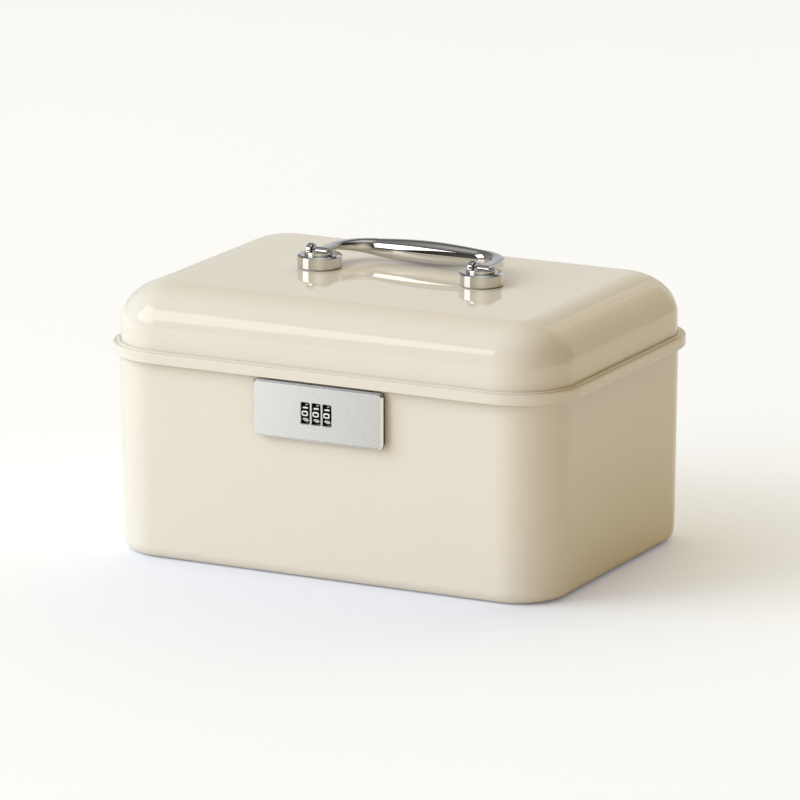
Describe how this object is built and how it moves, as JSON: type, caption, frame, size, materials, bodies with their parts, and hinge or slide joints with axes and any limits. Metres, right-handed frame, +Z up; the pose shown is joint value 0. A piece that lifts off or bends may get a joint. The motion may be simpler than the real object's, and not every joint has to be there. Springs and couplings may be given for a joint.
{
  "type": "medication lock box",
  "caption": "Rounded steel lock box with a domed, hinged lid, folding carry handle on round posts and a dial code lock, for keeping medicines at home.",
  "frame": {"origin": "bottom centre of the box, on the plane that it stands on", "axes": "+X towards the box's right as seen from the front, +Z up; the front with the lock faces -Y"},
  "size_m": [0.3, 0.2126, 0.1754],
  "materials": {
    "enamel": "cream gloss enamel on steel sheet",
    "chrome": "polished chrome plate",
    "satin_zinc": "satin plated die casting",
    "steel": "zinc plated steel",
    "wheel_black": "black moulded plastic with white digits",
    "rubber": "dark rubber sheet",
    "brass": "drawn brass"
  },
  "bodies": {
    "tub": {"tub_shell": "enamel", "lock_face_plate": "satin_zinc", "lock_gasket": "rubber", "lock_case": "satin_zinc", "bolt_spring": "steel", "detent_spring": "steel", "dial_shaft": "steel", "lock_screw_top_left": "steel", "lock_screw_top_right": "steel", "lock_screw_bottom_left": "steel", "lock_screw_bottom_right": "steel", "hinge_leaf_tub_left": "steel", "hinge_pin_left": "steel", "hinge_rivet_left_inner": "steel", "hinge_rivet_left_outer": "steel", "hinge_leaf_tub_right": "steel", "hinge_pin_right": "steel", "hinge_rivet_right_inner": "steel", "hinge_rivet_right_outer": "steel"},
    "lid": {"lid_shell": "enamel", "lid_strike": "steel", "handle_post_left": "chrome", "handle_pin_left": "steel", "handle_washer_left": "steel", "handle_screw_left": "steel", "hinge_leaf_lid_left": "steel", "handle_post_right": "chrome", "handle_pin_right": "steel", "handle_washer_right": "steel", "handle_screw_right": "steel", "hinge_leaf_lid_right": "steel"},
    "bail": {"handle_bail": "chrome"},
    "dial_left": {"dial_wheel_left": "wheel_black"},
    "dial_centre": {"dial_wheel_centre": "wheel_black"},
    "dial_right": {"dial_wheel_right": "wheel_black"},
    "bolt": {"lock_bolt": "brass"}
  },
  "joints": [
    {"name": "lid_hinge", "type": "hinge", "parent": "tub", "child": "lid", "pos_m": [0, 0.1036, 0.1158], "axis": [-1, 0, 0], "range_deg": [0, 105]},
    {"name": "bail_swing", "type": "hinge", "parent": "lid", "child": "bail", "pos_m": [0.0022, 0, 0.1699], "axis": [1, 0, 0], "range_deg": [0, 90]},
    {"name": "dial_left_turn", "type": "hinge", "parent": "tub", "child": "dial_left", "pos_m": [-0.007, -0.099, 0.1006], "axis": [1, 0, 0], "continuous": true},
    {"name": "dial_centre_turn", "type": "hinge", "parent": "tub", "child": "dial_centre", "pos_m": [0, -0.099, 0.1006], "axis": [1, 0, 0], "continuous": true},
    {"name": "dial_right_turn", "type": "hinge", "parent": "tub", "child": "dial_right", "pos_m": [0.007, -0.099, 0.1006], "axis": [1, 0, 0], "continuous": true},
    {"name": "bolt_slide", "type": "slide", "parent": "tub", "child": "bolt", "axis": [1, 0, 0], "range_m": [0, 0.007]}
  ]
}
